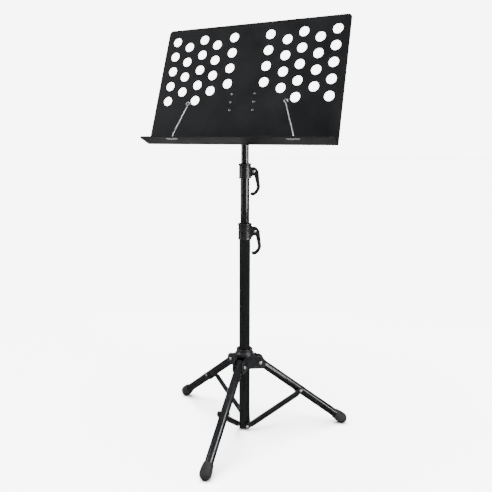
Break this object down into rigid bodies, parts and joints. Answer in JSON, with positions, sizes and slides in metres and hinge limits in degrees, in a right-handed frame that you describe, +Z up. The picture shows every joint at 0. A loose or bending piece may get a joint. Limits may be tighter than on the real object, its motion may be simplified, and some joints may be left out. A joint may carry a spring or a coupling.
{
  "type": "music stand",
  "caption": "Folding music stand: perforated sheet desk with a page tray and page wires, telescopic clamped tube, and a tripod base with braced folding legs.",
  "frame": {"origin": "centre of the flat underside of the plug in the bottom of the lower tube, on the tube axis, 4 mm above the floor that the feet stand on", "axes": "+Z up along the column; the desk and its tray face -Y; +X is to the reader's right; the middle of the desk is on X = 0"},
  "size_m": [0.4585, 0.4008, 0.9291],
  "materials": {
    "powder_coat": "fine satin black powder coat",
    "gloss_paint": "gloss black paint on drawn tube",
    "bright_wire": "bright nickel plated wire and rivets",
    "pale_zinc": "dull pale zinc plate",
    "clamp_plastic": "semi-gloss moulded black plastic",
    "foot_rubber": "matte black rubber"
  },
  "bodies": {
    "lower_column": {"lower_tube": "gloss_paint", "tube_end_plug": "clamp_plastic", "lower_clamp_collar": "clamp_plastic", "lower_clamp_bush": "clamp_plastic", "lower_clamp_pin": "bright_wire", "right_strut_inner_rivet": "bright_wire", "rear_strut_inner_rivet": "bright_wire", "front_strut_inner_rivet": "bright_wire"},
    "lower_lever": {"lower_clamp_lever": "clamp_plastic"},
    "hub": {"hub_bracket": "powder_coat", "hub_ring": "clamp_plastic", "hub_screw": "bright_wire", "right_leg_pin": "bright_wire", "rear_leg_pin": "bright_wire", "front_leg_pin": "bright_wire"},
    "right_leg": {"right_leg": "gloss_paint", "right_foot": "foot_rubber", "right_leg_saddle": "powder_coat", "right_saddle_rivet": "bright_wire"},
    "rear_leg": {"rear_leg": "gloss_paint", "rear_foot": "foot_rubber", "rear_leg_saddle": "powder_coat", "rear_saddle_rivet": "bright_wire"},
    "front_leg": {"front_leg": "gloss_paint", "front_foot": "foot_rubber", "front_leg_saddle": "powder_coat", "front_saddle_rivet": "bright_wire"},
    "right_brace": {"right_strut": "powder_coat", "right_strut_outer_rivet": "bright_wire"},
    "rear_brace": {"rear_strut": "powder_coat", "rear_strut_outer_rivet": "bright_wire"},
    "front_brace": {"front_strut": "powder_coat", "front_strut_outer_rivet": "bright_wire"},
    "middle_column": {"middle_tube": "gloss_paint", "middle_tube_guide": "clamp_plastic", "upper_clamp_collar": "clamp_plastic", "upper_clamp_bush": "clamp_plastic", "upper_clamp_pin": "bright_wire"},
    "upper_lever": {"upper_clamp_lever": "clamp_plastic"},
    "upper_column": {"upper_tube": "gloss_paint", "upper_tube_guide": "clamp_plastic"},
    "tilt_head": {"head_post": "clamp_plastic"},
    "desk": {"desk_sheet": "powder_coat", "desk_bracket": "powder_coat", "tilt_bolt": "bright_wire", "tilt_washer": "bright_wire", "desk_rivet_1": "pale_zinc", "desk_rivet_2": "pale_zinc", "desk_rivet_3": "pale_zinc", "desk_rivet_4": "pale_zinc", "desk_rivet_5": "pale_zinc", "desk_rivet_6": "pale_zinc", "left_page_clip": "pale_zinc", "right_page_clip": "pale_zinc"},
    "tilt_knob": {"tilt_knob": "clamp_plastic"},
    "left_wire": {"left_page_wire": "bright_wire"},
    "right_wire": {"right_page_wire": "bright_wire"}
  },
  "joints": [
    {"name": "hub_slide", "type": "slide", "parent": "lower_column", "child": "hub", "axis": [0, 0, 1], "range_m": [0, 0.1123]},
    {"name": "right_leg_fold", "type": "hinge", "parent": "hub", "child": "right_leg", "pos_m": [0.02795, 0.02106, 0.16], "axis": [-0.6018, 0.7986, 0], "range_deg": [0, 50.3]},
    {"name": "rear_leg_fold", "type": "hinge", "parent": "hub", "child": "rear_leg", "pos_m": [-0.03222, 0.01368, 0.16], "axis": [-0.3907, -0.9205, 0], "range_deg": [0, 50.3]},
    {"name": "front_leg_fold", "type": "hinge", "parent": "hub", "child": "front_leg", "pos_m": [0.00426, -0.03474, 0.16], "axis": [0.9925, 0.1219, 0], "range_deg": [0, 50.3]},
    {"name": "right_strut_fold", "type": "hinge", "parent": "lower_column", "child": "right_brace", "pos_m": [0.01102, -0.00797, 0.007], "axis": [0.6018, -0.7986, 0], "range_deg": [0, 43.56]},
    {"name": "rear_strut_fold", "type": "hinge", "parent": "lower_column", "child": "rear_brace", "pos_m": [0.0014, 0.01353, 0.007], "axis": [0.3907, 0.9205, 0], "range_deg": [0, 43.56]},
    {"name": "front_strut_fold", "type": "hinge", "parent": "lower_column", "child": "front_brace", "pos_m": [-0.01242, -0.00555, 0.007], "axis": [-0.9925, -0.1219, 0], "range_deg": [0, 43.56]},
    {"name": "lower_lever_turn", "type": "hinge", "parent": "lower_column", "child": "lower_lever", "pos_m": [0.01888, 0.0109, 0.4664], "axis": [0.5, -0.866, 0], "range_deg": [0, 95]},
    {"name": "middle_tube_slide", "type": "slide", "parent": "lower_column", "child": "middle_column", "axis": [0, 0, 1], "range_m": [-0.055, 0.25]},
    {"name": "upper_lever_turn", "type": "hinge", "parent": "middle_column", "child": "upper_lever", "pos_m": [0.01611, 0.0093, 0.6004], "axis": [0.5, -0.866, 0], "range_deg": [0, 95]},
    {"name": "upper_tube_slide", "type": "slide", "parent": "middle_column", "child": "upper_column", "axis": [0, 0, 1], "range_m": [-0.02, 0.25]},
    {"name": "desk_swivel", "type": "hinge", "parent": "upper_column", "child": "tilt_head", "pos_m": [0, 0, 0.715], "axis": [0, 0, 1], "continuous": true},
    {"name": "desk_tilt", "type": "hinge", "parent": "tilt_head", "child": "desk", "pos_m": [0, 0, 0.7455], "axis": [-1, 0, 0], "range_deg": [-18, 70]},
    {"name": "tilt_knob_turn", "type": "hinge", "parent": "desk", "child": "tilt_knob", "pos_m": [0.02, 0, 0.7455], "axis": [1, 0, 0], "continuous": true},
    {"name": "left_page_wire_turn", "type": "hinge", "parent": "desk", "child": "left_wire", "pos_m": [-0.143, -0.0748, 0.67597], "axis": [0, 0.3206, 0.9472], "range_deg": [-90, 75]},
    {"name": "right_page_wire_turn", "type": "hinge", "parent": "desk", "child": "right_wire", "pos_m": [0.143, -0.0748, 0.67597], "axis": [0, 0.3206, 0.9472], "range_deg": [-75, 90]}
  ],
  "couplings": [
    {"joint": "right_leg_fold", "follows": "hub_slide", "rad_per_m": 7.755},
    {"joint": "rear_leg_fold", "follows": "hub_slide", "rad_per_m": 7.755},
    {"joint": "front_leg_fold", "follows": "hub_slide", "rad_per_m": 7.755},
    {"joint": "right_strut_fold", "follows": "hub_slide", "rad_per_m": 6.708},
    {"joint": "rear_strut_fold", "follows": "hub_slide", "rad_per_m": 6.708},
    {"joint": "front_strut_fold", "follows": "hub_slide", "rad_per_m": 6.708}
  ]
}
